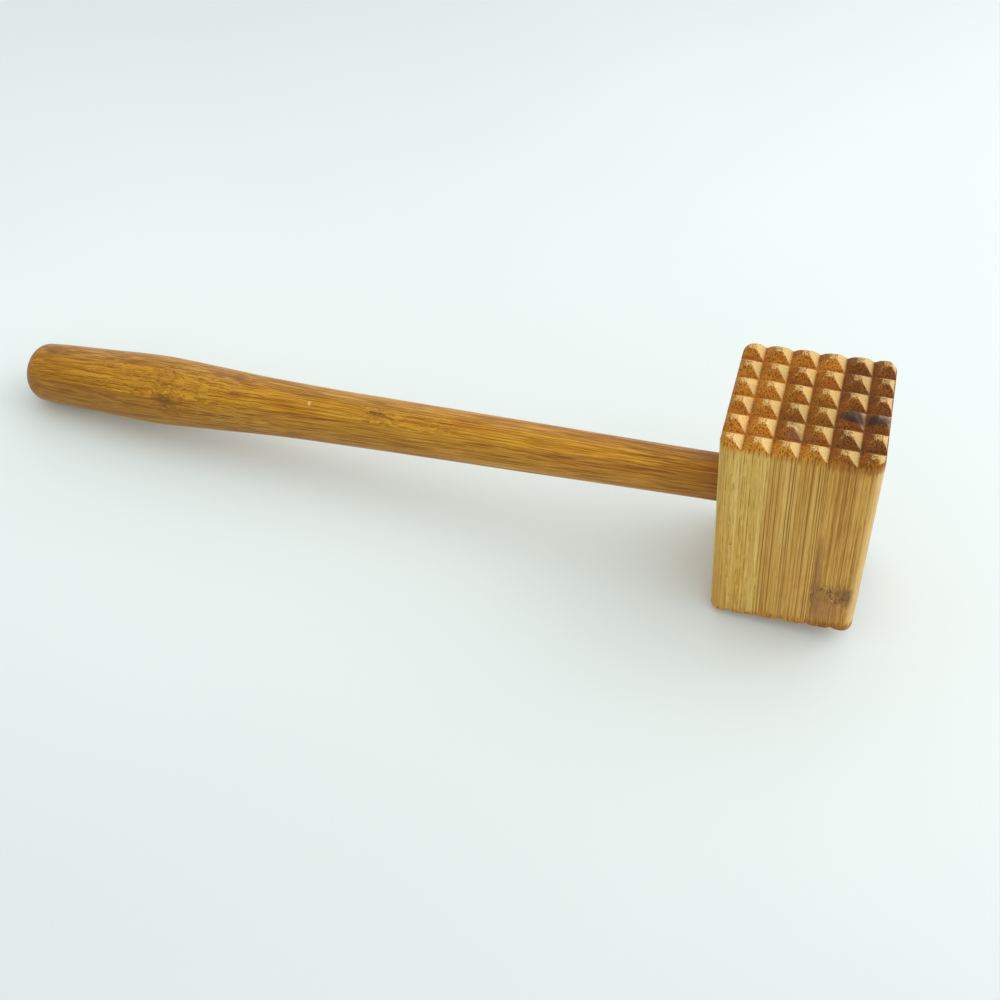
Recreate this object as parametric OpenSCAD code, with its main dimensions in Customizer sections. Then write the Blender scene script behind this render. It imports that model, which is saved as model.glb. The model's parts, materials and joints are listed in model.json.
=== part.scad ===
// Meat mallet in laminated bamboo: a square block head with pyramid teeth on
// both striking ends, and a turned handle glued into a blind hole in its side.
//
// Frame: the mallet lies as it rests on a table, tipped back on the lower
// handle-side edge of the head and on the grip. +Z is up from the table, +X
// runs from the grip to the head, and the origin is on the table under the
// middle of the whole mallet.
//
// Inside the mallet frame, before it is tipped: x runs along the handle with
// the head centred on x = 0, y = 0 is the handle axis, and z = 0 is the plane
// of the lower tooth tips.

/* [Teeth] */
// Distance from one tooth to the next
tooth_pitch = 10; // [9.6:0.1:10.6]
// Depth of the V grooves between the teeth
tooth_depth = 3.7; // [2.6:0.1:4.2]
// Width lost from each outer tooth where the block is planed square
edge_trim = 1.5; // [1:0.1:2]

/* [Head] */
// Height of the head from tooth tips to tooth tips
head_h = 94.6; // [80:0.2:110]
// Radius of the rounded upright edges of the head
edge_r = 4.5; // [1:0.25:5]
// Radius of the worn edges where the toothed ends meet the side faces
arris_r = 4; // [1:0.25:5]
// Thickness of each bamboo ply in the head
ply_t = 6.6; // [6.4:0.05:7]

/* [Handle] */
// Length of the handle outside the head
handle_len = 303; // [260:1:340]
// Radius of the handle where it enters the head
neck_r = 9.4; // [8:0.1:10]
// Radius of the handle half way along the shaft
shaft_r = 10.9; // [10:0.1:11.5]
// Largest radius of the grip
grip_r = 14.5; // [13:0.1:15.5]
// Radius of the grip just before its rounded end
butt_r = 12.4; // [11.5:0.1:13]
// Length of the rounded end of the grip
butt_round = 7.6; // [6:0.2:10]
// Thickness of each bamboo ply in the handle
handle_ply_t = 7.1; // [6.8:0.1:7.6]

/* [Joint of head and handle] */
// Depth of the blind hole that takes the handle
socket_depth = 36.5; // [25:0.5:38]
// Flat left on the end of the handle, off the bottom of the hole
tenon_chamfer = 1; // [0.5:0.25:2]

/* [Hidden] */
$fn = 96;

// The head is square: six teeth each way, less the trim on both sides.
head_w = 6 * tooth_pitch - 2 * edge_trim;
half_w = head_w / 2;
axis_z = head_h / 2;

// Seams between the three strips of a ply lie in groove bottoms.
seam_x = tooth_pitch;
columns = [[-half_w, -seam_x], [-seam_x, seam_x], [seam_x, half_w]];

// The worn edge is a quarter-turn's half: it runs from the outer facets at 45
// degrees to the upright side faces, about an axis arris_c below the tips.
edge_drop = tooth_depth - edge_trim;
arris = min(arris_r, edge_drop / (1 - cos(45)));
arris_c = edge_drop + arris * tan(22.5);

// Plies are laid up from the front face; the last one is planed thinner.
function ply_y(k) = min(half_w, -half_w + k * ply_t);

// Handle stations: distance out from the head, then radius. They lie between
// the four named radii in fixed shares of the handle's length.
hl = handle_len;
stations = [
  [-30, neck_r], [0, neck_r],
  [0.12 * hl, neck_r + 0.22 * (shaft_r - neck_r)],
  [0.32 * hl, neck_r + 0.72 * (shaft_r - neck_r)],
  [0.44 * hl, shaft_r],
  [0.56 * hl, shaft_r + 0.15 * (grip_r - shaft_r)],
  [0.64 * hl, shaft_r + 0.36 * (grip_r - shaft_r)],
  [0.71 * hl, shaft_r + 0.68 * (grip_r - shaft_r)],
  [0.78 * hl, grip_r - 0.03],
  [0.82 * hl, grip_r],
  [0.88 * hl, grip_r - 0.36 * (grip_r - butt_r)],
  [0.94 * hl, grip_r - 0.66 * (grip_r - butt_r)],
  [hl - butt_round, butt_r],
  [hl + 5, butt_r - 1.4]
];

// Smooth curve through the stations: cubic pieces whose slopes at a station
// are those of the chord between its neighbours.
function slope(i) = (stations[i + 1][1] - stations[i - 1][1])
                  / (stations[i + 1][0] - stations[i - 1][0]);
function span(u, i = 1) =
  (i >= len(stations) - 3 || u <= stations[i + 1][0]) ? i : span(u, i + 1);
function piece(u, i) =
  let (a = stations[i], b = stations[i + 1], w = b[0] - a[0], t = (u - a[0]) / w)
  (2*t*t*t - 3*t*t + 1) * a[1] + (t*t*t - 2*t*t + t) * w * slope(i)
  + (3*t*t - 2*t*t*t) * b[1] + (t*t*t - t*t) * w * slope(i + 1);
function handle_r(u) = u <= 0 ? neck_r : piece(u, span(u));

// Rounded end: a flattened dome, butt_round long, ending in a small flat.
butt_flat = 2.5;
body_steps = 48;
dome_steps = 10;
u_dome = hl - butt_round;
function dome(t) = [u_dome + butt_round * sin(t),
                    butt_flat + (butt_r - butt_flat) * pow(cos(t), 0.82)];
outline = concat(
  [[-socket_depth, 0], [-socket_depth, neck_r - tenon_chamfer],
   [-socket_depth + tenon_chamfer, neck_r], [0, neck_r]],
  [for (k = [1 : body_steps]) let (u = u_dome * k / body_steps) [u, handle_r(u)]],
  [for (k = [1 : dome_steps - 1]) dome(90 * k / dome_steps)],
  [[hl, butt_flat], [hl, 0]]);

// Resting tilt: the head stands on the tips of its lower handle-side teeth
// and the grip comes down to the table.
foot_x = -(3 * tooth_pitch - tooth_depth);
function reach(u) = atan2(axis_z - handle_r(u), half_w + u + foot_x);
tilt = min([for (u = [0.7 * hl : 0.5 : u_dome]) reach(u)]);

// The whole mallet's extent along x once it is tipped, which centres it.
lo_x = min([for (p = outline) -(half_w + p[0]) * cos(tilt) - (axis_z + p[1]) * sin(tilt)]);
hi_x = (half_w - arris) * cos(tilt) - arris_c * sin(tilt) + arris;
foot = [foot_x * cos(tilt), foot_x * sin(tilt)];
mid_x = (lo_x + hi_x) / 2;

module as_it_lies() {
  translate([-mid_x, 0, -foot[1]]) rotate([0, -tilt, 0]) children();
}

// A V groove along y, cut in from z = 0 downwards.
module groove(len) {
  rotate([90, 0, 0])
    linear_extrude(height = len, center = true)
      polygon([[-tooth_depth - 1, 1], [tooth_depth + 1, 1], [0, -tooth_depth]]);
}

// Every groove that crosses the rectangle x0..x1, y0..y1 at one end.
module grooves(x0, x1, y0, y1) {
  for (k = [-3 : 3]) {
    g = k * tooth_pitch;
    if (g > x0 - tooth_depth && g < x1 + tooth_depth)
      translate([g, (y0 + y1) / 2, 0]) groove(y1 - y0 + 4);
    if (g > y0 - tooth_depth && g < y1 + tooth_depth)
      translate([(x0 + x1) / 2, g, 0]) rotate([0, 0, 90]) groove(x1 - x0 + 4);
  }
}

// Bar that rounds the edge between a toothed end and a side face. It runs
// along x, with the side face at y = 0 and the block on its +y side.
module arris_cut(len) {
  rotate([90, 0, 90]) linear_extrude(height = len, center = true)
    difference() {
      polygon([[-1, -arris_c], [arris, -arris_c],
               [arris * (1 - cos(45)), arris * sin(45) - arris_c],
               [-1, arris * sin(45) - arris_c]]);
      translate([arris, -arris_c]) circle(r = arris);
    }
}
module arris_cuts(ply, col, x0, x1, y0, y1) {
  if (ply == 1) translate([(x0 + x1) / 2, -half_w, 0]) arris_cut(x1 - x0 + 4);
  if (ply == 9) translate([(x0 + x1) / 2, half_w, 0])
    rotate([0, 0, 180]) arris_cut(x1 - x0 + 4);
  if (col == 0) translate([-half_w, (y0 + y1) / 2, 0])
    rotate([0, 0, -90]) arris_cut(y1 - y0 + 4);
  if (col == 2) translate([half_w, (y0 + y1) / 2, 0])
    rotate([0, 0, 90]) arris_cut(y1 - y0 + 4);
}

// Upright bar that takes one outer corner of the block to a quarter round.
module corner_cut(sx, sy) {
  translate([sx * (half_w - edge_r), sy * (half_w - edge_r), 0])
    difference() {
      translate([sx > 0 ? 0 : -edge_r - 1, sy > 0 ? 0 : -edge_r - 1, -1])
        cube([edge_r + 1, edge_r + 1, head_h + 2]);
      translate([0, 0, -2]) cylinder(r = edge_r, h = head_h + 4);
    }
}

module socket() {
  translate([-half_w - 1, 0, axis_z]) rotate([0, 90, 0])
    cylinder(r = neck_r, h = socket_depth + 1);
}

// One bamboo strip of the head: ply 1 to 9 from the front, column 0 to 2.
module head_strip(ply, col) {
  x0 = columns[col][0];
  x1 = columns[col][1];
  y0 = ply_y(ply - 1);
  y1 = ply == 9 ? half_w : ply_y(ply);
  difference() {
    translate([x0, y0, 0]) cube([x1 - x0, y1 - y0, head_h]);
    translate([0, 0, head_h]) grooves(x0, x1, y0, y1);
    mirror([0, 0, 1]) grooves(x0, x1, y0, y1);
    translate([0, 0, head_h]) arris_cuts(ply, col, x0, x1, y0, y1);
    mirror([0, 0, 1]) arris_cuts(ply, col, x0, x1, y0, y1);
    if (col != 1 && (ply == 1 || ply == 9)) corner_cut(col - 1, ply == 1 ? -1 : 1);
    if (col < 2 && y0 < neck_r && y1 > -neck_r) socket();
  }
}

// Strip colours, from the pale front face to the darker right-hand column.
strip_colours = [
  ["#c9a765", "#c08a45", "#8f5b33"],
  ["#c39352", "#bb8141", "#9a6236"],
  ["#c79a58", "#a8713a", "#84502f"],
  ["#bf8e4c", "#a06a38", "#5f3a2a"],
  ["#c6954f", "#ab743c", "#8c5731"],
  ["#c89c5a", "#b37c40", "#94602f"],
  ["#c08c4a", "#a9723b", "#89542f"],
  ["#c7995a", "#b07a42", "#925c33"],
  ["#c29350", "#ad763e", "#8e5a32"]
];
module head_piece(ply, col) {
  color(strip_colours[ply - 1][col]) as_it_lies() head_strip(ply, col);
}

// One bamboo strip of the handle: ply 1 to 4 from the top, side -1 front or
// 1 back of the seam that the ply has along its length.
handle_seam = [-2, 4, -5, 2];
module handle_strip(ply, side) {
  z1 = ply == 1 ? 20 : (2 - (ply - 1)) * handle_ply_t;
  z0 = ply == 4 ? -20 : (2 - ply) * handle_ply_t;
  y = handle_seam[ply - 1];
  intersection() {
    translate([-half_w, 0, axis_z]) rotate([0, -90, 0]) rotate_extrude()
      polygon([for (p = outline) [p[1], p[0]]]);
    translate([-half_w - hl - 5, side < 0 ? -20 : y, axis_z + z0])
      cube([hl + socket_depth + 10, side < 0 ? 20 + y : 20 - y, z1 - z0]);
  }
}
module handle_piece(ply, side, tint) {
  color(tint) as_it_lies() handle_strip(ply, side);
}

module head_ply_1_left() { head_piece(1, 0); }
module head_ply_1_middle() { head_piece(1, 1); }
module head_ply_1_right() { head_piece(1, 2); }
module head_ply_2_left() { head_piece(2, 0); }
module head_ply_2_middle() { head_piece(2, 1); }
module head_ply_2_right() { head_piece(2, 2); }
module head_ply_3_left() { head_piece(3, 0); }
module head_ply_3_middle() { head_piece(3, 1); }
module head_ply_3_right() { head_piece(3, 2); }
module head_ply_4_left() { head_piece(4, 0); }
module head_ply_4_middle() { head_piece(4, 1); }
module head_ply_4_right() { head_piece(4, 2); }
module head_ply_5_left() { head_piece(5, 0); }
module head_ply_5_middle() { head_piece(5, 1); }
module head_ply_5_right() { head_piece(5, 2); }
module head_ply_6_left() { head_piece(6, 0); }
module head_ply_6_middle() { head_piece(6, 1); }
module head_ply_6_right() { head_piece(6, 2); }
module head_ply_7_left() { head_piece(7, 0); }
module head_ply_7_middle() { head_piece(7, 1); }
module head_ply_7_right() { head_piece(7, 2); }
module head_ply_8_left() { head_piece(8, 0); }
module head_ply_8_middle() { head_piece(8, 1); }
module head_ply_8_right() { head_piece(8, 2); }
module head_ply_9_left() { head_piece(9, 0); }
module head_ply_9_middle() { head_piece(9, 1); }
module head_ply_9_right() { head_piece(9, 2); }
module handle_ply_1_front() { handle_piece(1, -1, "#c28d3e"); }
module handle_ply_1_back() { handle_piece(1, 1, "#b97f45"); }
module handle_ply_2_front() { handle_piece(2, -1, "#a97440"); }
module handle_ply_2_back() { handle_piece(2, 1, "#b58348"); }
module handle_ply_3_front() { handle_piece(3, -1, "#ad7843"); }
module handle_ply_3_back() { handle_piece(3, 1, "#b98645"); }
module handle_ply_4_front() { handle_piece(4, -1, "#b98441"); }
module handle_ply_4_back() { handle_piece(4, 1, "#ae7a42"); }

head_ply_1_left();
head_ply_1_middle();
head_ply_1_right();
head_ply_2_left();
head_ply_2_middle();
head_ply_2_right();
head_ply_3_left();
head_ply_3_middle();
head_ply_3_right();
head_ply_4_left();
head_ply_4_middle();
head_ply_4_right();
head_ply_5_left();
head_ply_5_middle();
head_ply_5_right();
head_ply_6_left();
head_ply_6_middle();
head_ply_6_right();
head_ply_7_left();
head_ply_7_middle();
head_ply_7_right();
head_ply_8_left();
head_ply_8_middle();
head_ply_8_right();
head_ply_9_left();
head_ply_9_middle();
head_ply_9_right();
handle_ply_1_front();
handle_ply_1_back();
handle_ply_2_front();
handle_ply_2_back();
handle_ply_3_front();
handle_ply_3_back();
handle_ply_4_front();
handle_ply_4_back();
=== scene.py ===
import json
import math

import bmesh
import bpy
import numpy as np
from mathutils import Matrix, Vector


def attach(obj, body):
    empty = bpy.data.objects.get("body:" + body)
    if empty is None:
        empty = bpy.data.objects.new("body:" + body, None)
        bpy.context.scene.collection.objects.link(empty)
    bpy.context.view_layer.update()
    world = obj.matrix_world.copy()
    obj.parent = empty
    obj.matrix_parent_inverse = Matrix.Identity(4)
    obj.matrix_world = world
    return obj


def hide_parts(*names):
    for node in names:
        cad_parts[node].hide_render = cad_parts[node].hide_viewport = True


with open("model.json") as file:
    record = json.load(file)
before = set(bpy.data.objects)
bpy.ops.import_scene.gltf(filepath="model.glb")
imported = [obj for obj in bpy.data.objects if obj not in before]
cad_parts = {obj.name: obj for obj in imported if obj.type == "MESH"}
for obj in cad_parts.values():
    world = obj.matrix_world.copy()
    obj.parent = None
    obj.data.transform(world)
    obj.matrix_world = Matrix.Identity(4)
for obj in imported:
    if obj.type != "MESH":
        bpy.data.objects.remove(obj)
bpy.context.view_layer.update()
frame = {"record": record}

# ---------------------------------------------------------------------------
# Dimensions of the mallet, in millimetres, in its own upright frame: the head
# stands on its lower teeth round the z axis and the handle leaves along -x.
# A piece's mesh is in this frame (in metres) and its object carries the tilt
# at which the mallet rests, so the grain is laid out along the real strips.
PITCH, DEPTH, TRIM = 10.0, 3.7, 1.5
HEAD_H, EDGE_R, ARRIS_R, PLY_T = 94.6, 4.5, 4.0, 6.6
HALF_W = (6 * PITCH - 2 * TRIM) / 2
AXIS_Z = HEAD_H / 2
HANDLE_LEN, NECK_R, SHAFT_R, GRIP_R, BUTT_R = 303.0, 9.4, 10.9, 14.5, 12.4
BUTT_ROUND, BUTT_FLAT, SOCKET = 7.6, 2.5, 36.5
HANDLE_PLY = 7.1
COLUMNS = [(-HALF_W, -PITCH), (-PITCH, PITCH), (PITCH, HALF_W)]
COLUMN_NAMES = ["left", "middle", "right"]
PLY_Y = [min(HALF_W, -HALF_W + k * PLY_T) for k in range(9)] + [HALF_W]
HANDLE_SEAMS = [-2.0, 4.0, -5.0, 2.0]

FOOT_X = -(3 * PITCH - DEPTH)
TILT = math.radians(6.690141949753647)
CT, ST = math.cos(TILT), math.sin(TILT)
MID_X = -153.65979056970366
REST = Matrix((
    (CT, 0, -ST, -MID_X * 0.001),
    (0, 1, 0, 0),
    (ST, 0, CT, -FOOT_X * ST * 0.001),
    (0, 0, 0, 1),
))

SLOT_OF = {s["node"]: s["material_slot"] for s in frame["record"]["subparts"]}


# ---------------------------------------------------------------------------
# Deterministic smooth noise for the hand-finished shape.
def lattice(ix, iy, iz, seed):
    h = (ix * 374761393 + iy * 668265263 + iz * 2147483647 + seed * 1274126177) & 0xFFFFFFFF
    h = ((h ^ (h >> 13)) * 1274126177) & 0xFFFFFFFF
    h = (h ^ (h >> 16)) & 0xFFFF
    return h / 65535.0


def smooth_noise(x, y, z, seed):
    """Value noise in -1..1 on a unit lattice."""
    x, y, z = (np.asarray(v, float) for v in np.broadcast_arrays(x, y, z))
    ix, iy, iz = (np.floor(v).astype(np.int64) for v in (x, y, z))
    fx, fy, fz = x - ix, y - iy, z - iz
    fx, fy, fz = (f * f * (3 - 2 * f) for f in (fx, fy, fz))
    out = 0
    for dx in (0, 1):
        for dy in (0, 1):
            for dz in (0, 1):
                w = (fx if dx else 1 - fx) * (fy if dy else 1 - fy) * (fz if dz else 1 - fz)
                out = out + w * lattice(ix + dx, iy + dy, iz + dz, seed)
    return out * 2 - 1


# ---------------------------------------------------------------------------
# Head: toothed ends as fine height fields.
def groove_profile(t):
    """Depth below the tooth tips at distance t from a tooth centre line."""
    t = np.asarray(t, float)
    near = np.abs(t - PITCH * np.round(t / PITCH))
    wall = DEPTH - (np.sqrt(near * near + 0.32 ** 2) - 0.06)
    return (wall + np.sqrt(wall * wall + 0.55 ** 2)) / 2 - 0.05


def inside_distance(x, y):
    """Distance from the head's rounded square outline, inwards."""
    qx, qy = np.abs(x) - (HALF_W - EDGE_R), np.abs(y) - (HALF_W - EDGE_R)
    outer = np.hypot(np.maximum(qx, 0), np.maximum(qy, 0))
    return EDGE_R - outer - np.minimum(np.maximum(qx, qy), 0)


EDGE_DROP = DEPTH - TRIM
ARRIS_C = EDGE_DROP + ARRIS_R * math.tan(math.radians(22.5))


def arris_depth(ins, k=1.0):
    """Depth of the worn edge at a distance ins from the outline."""
    ins = np.maximum(ins, 0) * k
    arc = ARRIS_C - np.sqrt(np.maximum(0, ARRIS_R ** 2 - (ARRIS_R - np.minimum(ins, ARRIS_R)) ** 2))
    return np.where(ins < ARRIS_R * (1 - math.sqrt(0.5)), arc, EDGE_DROP - ins)


def end_depth(x, y, end):
    """Depth of the toothed surface at (x, y); end is 1 at the top, -1 below."""
    gx, gy = groove_profile(x), groove_profile(y)
    both = np.clip((gx + gy - 0.15) / 0.9, 0, 1)
    blend = 0.42 * both
    d = (gx + gy + np.sqrt((gx - gy) ** 2 + blend * blend)) / 2
    # Tips are sanded by hand, so no two stand equally high or quite level.
    tx, ty = np.floor(x / PITCH), np.floor(y / PITCH)
    seed = 11 if end > 0 else 29
    low = 0.10 * (1 + smooth_noise(tx * 3.7, ty * 5.1, 0 * x, seed))
    lean = 0.05 * smooth_noise(x / 6.0, y / 6.0, 0 * x, seed + 1)
    d = np.maximum(d, (low + lean + 0.02 + d + np.sqrt((low + lean - d) ** 2 + 0.01)) / 2)
    # Nicks where the cutter tore fibres out of a ridge.
    nick = smooth_noise(x / 1.1, y / 1.1, 0 * x, seed + 2)
    d = d + 0.30 * np.clip(nick - 0.62, 0, 1) * np.clip(1.6 - d, 0, 1)
    # The edge against the side faces is worn round, not quite evenly.
    ins = inside_distance(x, y)
    edge = arris_depth(ins, 1 + 0.10 * smooth_noise(x / 3.5, y / 3.5, 0 * x, seed + 3))
    d = (d + edge + np.sqrt((d - edge) ** 2 + 0.10 * np.clip(d, 0, 1))) / 2
    d = np.minimum(d, ARRIS_C + 0.12)
    return np.maximum(d, 0.0)


OFFSETS = [0, 0.45, 0.85, 1.1, 1.3, 1.5, 1.75, 2.1, 2.45, 2.8, 3.15, 3.5, 3.85, 4.15, 4.4, 4.6, 4.8, 5.0]


def grid_lines(a, b):
    """Grid lines from a to b, the same on both sides of every tooth centre so
    that the hips of a tooth run along the mesh."""
    out = {round(a, 4), round(b, 4)}
    for k in range(-3, 3):
        for o in OFFSETS:
            for s in (-1, 1):
                v = PITCH * (k + 0.5) + s * o
                if a + 0.12 < v < b - 0.12 and HALF_W - abs(v) > 1.25:
                    out.add(round(v, 4))
    for e in (-HALF_W, HALF_W):
        for o in (0.03, 0.08, 0.16, 0.28, 0.42, 0.6, 0.85, 1.15, 1.5, 3.0, 4.5):
            v = e + o if e < 0 else e - o
            if a + 0.02 < v < b - 0.02:
                out.add(round(v, 4))
    lines = sorted(out)
    kept = [lines[0]]
    for v in lines[1:]:
        if v - kept[-1] < 0.025 and v != lines[-1]:
            continue
        kept.append(v)
    return np.array(kept)


def round_corners(x, y):
    """Moves grid points of the square's four corners onto quarter rounds."""
    c = HALF_W - EDGE_R
    ux, uy = np.clip((np.abs(x) - c) / EDGE_R, 0, 1), np.clip((np.abs(y) - c) / EDGE_R, 0, 1)
    inside = (np.abs(x) > c) & (np.abs(y) > c)
    m, d = np.maximum(ux, uy), np.hypot(ux, uy)
    k = 1 + m * (np.where(d > 1e-9, m / np.maximum(d, 1e-9), 1) - 1)
    nx, ny = np.sign(x) * (c + ux * k * EDGE_R), np.sign(y) * (c + uy * k * EDGE_R)
    return np.where(inside, nx, x), np.where(inside, ny, y)


def out_of_square(x, y, z):
    """The block was planed a little out of square: its sides come in towards
    the bottom, and the one away from the handle also towards the back."""
    share = min(max((abs(x) - PITCH) / (HALF_W - PITCH), 0.0), 1.0)
    fall = 1 - z / HEAD_H
    return x + share * ((0.45 - 1.65 * fall - 0.024 * y * (1 - fall)) if x > 0 else 0.4 * fall)


def head_strip_mesh(name, x0, x1, y0, y1):
    xs, ys = grid_lines(x0, x1), grid_lines(y0, y1)
    nx, ny = len(xs), len(ys)
    gx, gy = np.meshgrid(xs, ys, indexing="ij")
    px, py = round_corners(gx, gy)
    top = HEAD_H - end_depth(px, py, 1)
    bot = end_depth(px, py, -1)

    verts = [(px[i, j], py[i, j], top[i, j]) for i in range(nx) for j in range(ny)]
    verts += [(px[i, j], py[i, j], bot[i, j]) for i in range(nx) for j in range(ny)]
    low = nx * ny
    faces = []
    for i in range(nx - 1):
        for j in range(ny - 1):
            a, b, c, d = i * ny + j, (i + 1) * ny + j, (i + 1) * ny + j + 1, i * ny + j + 1
            mx, my = (xs[i] + xs[i + 1]) / 2, (ys[j] + ys[j + 1]) / 2
            tx = mx - PITCH * (math.floor(mx / PITCH) + 0.5)
            ty = my - PITCH * (math.floor(my / PITCH) + 0.5)
            if tx * ty > 0:
                faces += [(a, b, c), (a, c, d)]
                faces += [(low + c, low + b, low + a), (low + d, low + c, low + a)]
            else:
                faces += [(a, b, d), (b, c, d)]
                faces += [(low + d, low + b, low + a), (low + d, low + c, low + b)]
    loop = [(i, 0) for i in range(nx - 1)] + [(nx - 1, j) for j in range(ny - 1)]
    loop += [(i, ny - 1) for i in range(nx - 1, 0, -1)] + [(0, j) for j in range(ny - 1, 0, -1)]
    shares = [0.004, 0.012, 0.03] + [0.03 + 0.94 * k / 22 for k in range(1, 22)] + [0.97, 0.988, 0.996]
    n = len(loop)
    base = len(verts)
    for s in shares:
        for (i, j) in loop:
            z = top[i, j] + (bot[i, j] - top[i, j]) * s
            x, y = px[i, j], py[i, j]
            # Outer faces: sanded very slightly hollow and wavy, and eased
            # along the glue lines.
            ins = float(inside_distance(x, y))
            if ins < 1.5:
                wave = 0.035 * (1 + float(smooth_noise(x / 9.0, y / 9.0, z / 22.0, 5)))
                inner = ((i == 0 and abs(x0) < HALF_W) or (i == nx - 1 and abs(x1) < HALF_W)
                         or (j == 0 and abs(y0) < HALF_W) or (j == ny - 1 and abs(y1) < HALF_W))
                dip = (wave + (0.05 if inner else 0)) * min(1.0, (1 - abs(2 * s - 1)) * 12) * (1 - ins / 1.5)
                qx, qy = max(abs(x) - (HALF_W - EDGE_R), 0), max(abs(y) - (HALF_W - EDGE_R), 0)
                q = math.hypot(qx, qy)
                x -= math.copysign(qx / q, x) * dip
                y -= math.copysign(qy / q, y) * dip
            verts.append((x, y, z))
    rows = [[i * ny + j for (i, j) in loop]]
    rows += [[base + r * n + k for k in range(n)] for r in range(len(shares))]
    rows += [[low + i * ny + j for (i, j) in loop]]
    for upper, lower in zip(rows, rows[1:]):
        for k in range(n):
            m = (k + 1) % n
            faces.append((upper[k], lower[k], lower[m], upper[m]))
    mesh = bpy.data.meshes.new(name)
    mesh.from_pydata([(out_of_square(x, y, z) / 1000, y / 1000, z / 1000) for x, y, z in verts], [], faces)
    face_out(mesh)
    return mesh


def face_out(mesh):
    bm = bmesh.new()
    bm.from_mesh(mesh)
    bmesh.ops.recalc_face_normals(bm, faces=bm.faces[:])
    bm.to_mesh(mesh)
    bm.free()
    mesh.update()


def link(name, mesh):
    o = bpy.data.objects.new(name, mesh)
    bpy.context.scene.collection.objects.link(o)
    return o


def lathe(name, outline, rings, centre):
    """A closed solid turned round the -x axis; outline is (distance out, radius)."""
    x0, z0 = centre
    verts, faces = [], []
    for (u, r) in outline:
        for k in range(rings):
            a = 2 * math.pi * k / rings
            verts.append(((x0 - u) / 1000, r * math.cos(a) / 1000, (z0 + r * math.sin(a)) / 1000))
    for i in range(len(outline) - 1):
        for k in range(rings):
            m = (k + 1) % rings
            a, b = i * rings + k, i * rings + m
            c, d = (i + 1) * rings + m, (i + 1) * rings + k
            faces.append((a, d, c, b))
    first, last = len(verts), len(verts) + 1
    verts += [((x0 - outline[0][0]) / 1000, 0, z0 / 1000), ((x0 - outline[-1][0]) / 1000, 0, z0 / 1000)]
    for k in range(rings):
        m = (k + 1) % rings
        faces.append((first, k, m))
        faces.append((last, (len(outline) - 1) * rings + m, (len(outline) - 1) * rings + k))
    mesh = bpy.data.meshes.new(name)
    mesh.from_pydata(verts, [], faces)
    face_out(mesh)
    return mesh


def finish_shading(mesh, angle=38):
    for p in mesh.polygons:
        p.use_smooth = True
    mesh.set_sharp_from_angle(angle=math.radians(angle))


# Cutter for the handle's socket, with the small lead-in at the face.
socket_cutter = link("socket_cutter", lathe("socket_cutter", [
    (2.0, NECK_R + 0.28), (0.0, NECK_R + 0.28), (-0.25, NECK_R + 0.03), (-SOCKET - 0.02, NECK_R + 0.03)], 128,
    (-HALF_W, AXIS_Z)))
socket_cutter.data.transform(Matrix.Scale(1000, 4))

head_pieces = {}
for ply in range(1, 10):
    for col in range(3):
        x0, x1 = COLUMNS[col]
        y0, y1 = PLY_Y[ply - 1], PLY_Y[ply]
        node = f"head_ply_{ply}_{COLUMN_NAMES[col]}"
        o = link(node + ".v", head_strip_mesh(node, x0, x1, y0, y1))
        if col < 2 and y0 < NECK_R and y1 > -NECK_R:
            # Cut at a thousand times the size, where the solver is exact.
            o.data.transform(Matrix.Scale(1000, 4))
            cut = o.modifiers.new("socket", "BOOLEAN")
            cut.operation = "DIFFERENCE"
            cut.solver = "EXACT"
            cut.object = socket_cutter
            dg = bpy.context.evaluated_depsgraph_get()
            mesh = bpy.data.meshes.new_from_object(o.evaluated_get(dg))
            o.modifiers.clear()
            o.data = mesh
            o.data.transform(Matrix.Scale(0.001, 4))
        finish_shading(o.data)
        head_pieces[(ply, col)] = (o, node)
bpy.data.objects.remove(socket_cutter)


# ---------------------------------------------------------------------------
# Handle: one turned form, sawn into its eight strips.
HL = HANDLE_LEN
STATIONS = [
    (-30, NECK_R), (0, NECK_R),
    (0.12 * HL, NECK_R + 0.22 * (SHAFT_R - NECK_R)),
    (0.32 * HL, NECK_R + 0.72 * (SHAFT_R - NECK_R)),
    (0.44 * HL, SHAFT_R),
    (0.56 * HL, SHAFT_R + 0.15 * (GRIP_R - SHAFT_R)),
    (0.64 * HL, SHAFT_R + 0.36 * (GRIP_R - SHAFT_R)),
    (0.71 * HL, SHAFT_R + 0.68 * (GRIP_R - SHAFT_R)),
    (0.78 * HL, GRIP_R - 0.03),
    (0.82 * HL, GRIP_R),
    (0.88 * HL, GRIP_R - 0.36 * (GRIP_R - BUTT_R)),
    (0.94 * HL, GRIP_R - 0.66 * (GRIP_R - BUTT_R)),
    (HL - BUTT_ROUND, BUTT_R),
    (HL + 5, BUTT_R - 1.4),
]


def handle_r(u):
    if u <= 0:
        return NECK_R
    i = 1
    while i < len(STATIONS) - 3 and u > STATIONS[i + 1][0]:
        i += 1
    slope = lambda k: (STATIONS[k + 1][1] - STATIONS[k - 1][1]) / (STATIONS[k + 1][0] - STATIONS[k - 1][0])
    (ua, ra), (ub, rb) = STATIONS[i], STATIONS[i + 1]
    w = ub - ua
    t = (u - ua) / w
    return ((2 * t**3 - 3 * t * t + 1) * ra + (t**3 - 2 * t * t + t) * w * slope(i)
            + (3 * t * t - 2 * t**3) * rb + (t**3 - t * t) * w * slope(i + 1))


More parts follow.
